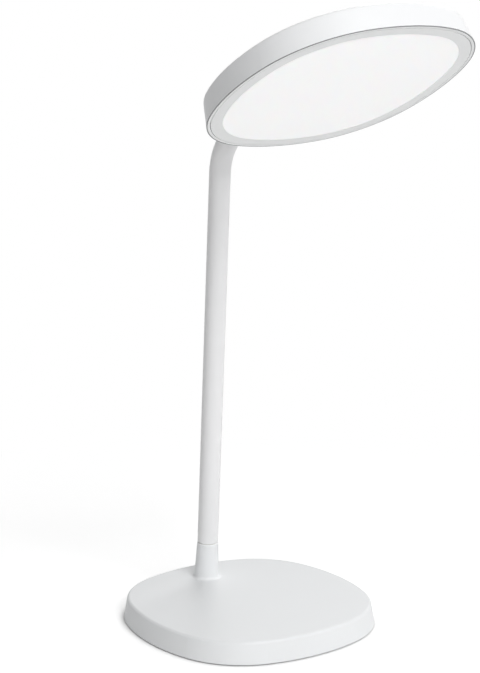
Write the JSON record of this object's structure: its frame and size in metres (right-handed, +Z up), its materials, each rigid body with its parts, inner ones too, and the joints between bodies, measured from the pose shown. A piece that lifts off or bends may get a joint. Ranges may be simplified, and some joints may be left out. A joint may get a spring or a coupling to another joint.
{
  "type": "light therapy lamp",
  "caption": "Desk light therapy lamp: weighted base with bulged sides, leaning bent tube that swivels, and a thin tilting head with a white diffuser and press buttons behind.",
  "frame": {"origin": "centre of the underside of the foot pad, where the lamp stands", "axes": "+Z up; -Y towards the front, where the head reaches; +X to the right, seen from the front looking along +Y"},
  "size_m": [0.2, 0.3039, 0.5106],
  "materials": {
    "base_shell": "satin moulded",
    "floor_plate": "dark painted steel",
    "foot_rubber": "soft matte",
    "ballast": "raw cast",
    "inlet_plastic": "black moulded",
    "contact_metal": "plated",
    "board": "solder mask",
    "board_parts": "moulded",
    "bush_plastic": "natural",
    "stem_paint": "satin powder coat",
    "turned_steel": "turned, zinc plated",
    "knuckle_paint": "satin powder coat",
    "lead_jacket": "matte jacket",
    "head_shell": "satin moulded",
    "bezel": "satin, light grey",
    "diffuser": "milky, fine matte",
    "reflector_white": "matte white",
    "board_white": "white solder mask",
    "led_lens": "resin",
    "heat_aluminium": "rolled",
    "switch_plastic": "moulded",
    "bracket_plastic": "satin moulded",
    "button_plastic": "satin moulded"
  },
  "bodies": {
    "base": {"base_cover": "base_shell", "base_plate": "floor_plate", "foot_pad": "foot_rubber", "ballast_plate": "ballast", "dc_inlet": "inlet_plastic", "dc_inlet_pin": "contact_metal", "driver_board": "board", "driver_parts": "board_parts", "stem_bush": "bush_plastic"},
    "stem": {"stem_tube": "stem_paint", "stem_spigot": "turned_steel", "key_washer": "turned_steel", "stem_nut": "turned_steel", "arm_knuckle": "knuckle_paint", "stem_lead": "lead_jacket"},
    "head": {"head_shell": "head_shell", "bezel_ring": "bezel", "diffuser": "diffuser", "reflector_tray": "reflector_white", "led_board": "board_white", "led_chips": "led_lens", "heat_plate": "heat_aluminium", "control_board": "board", "tact_switches": "switch_plastic", "hinge_bracket": "bracket_plastic", "hinge_bolt": "turned_steel", "hinge_nut": "turned_steel"},
    "power_button": {"power_button": "button_plastic"},
    "brighter_button": {"brighter_button": "button_plastic"},
    "dimmer_button": {"dimmer_button": "button_plastic"}
  },
  "joints": [
    {"name": "stem_swivel", "type": "hinge", "parent": "base", "child": "stem", "pos_m": [0, 0.0645, 0.0189], "axis": [0, -0.0605, 0.9982], "range_deg": [-45, 45]},
    {"name": "head_tilt", "type": "hinge", "parent": "stem", "child": "head", "pos_m": [0, -0.01142, 0.41291], "axis": [-1, 0, 0], "range_deg": [-28.4, 61.5]},
    {"name": "power_button_press", "type": "slide", "parent": "head", "child": "power_button", "axis": [0, -0.4761, -0.8794], "range_m": [0, 0.0008], "stiffness_N_per_m": 900, "springref_m": -0.0006},
    {"name": "brighter_button_press", "type": "slide", "parent": "head", "child": "brighter_button", "axis": [0, -0.4761, -0.8794], "range_m": [0, 0.0008], "stiffness_N_per_m": 900, "springref_m": -0.0006},
    {"name": "dimmer_button_press", "type": "slide", "parent": "head", "child": "dimmer_button", "axis": [0, -0.4761, -0.8794], "range_m": [0, 0.0008], "stiffness_N_per_m": 900, "springref_m": -0.0006}
  ]
}
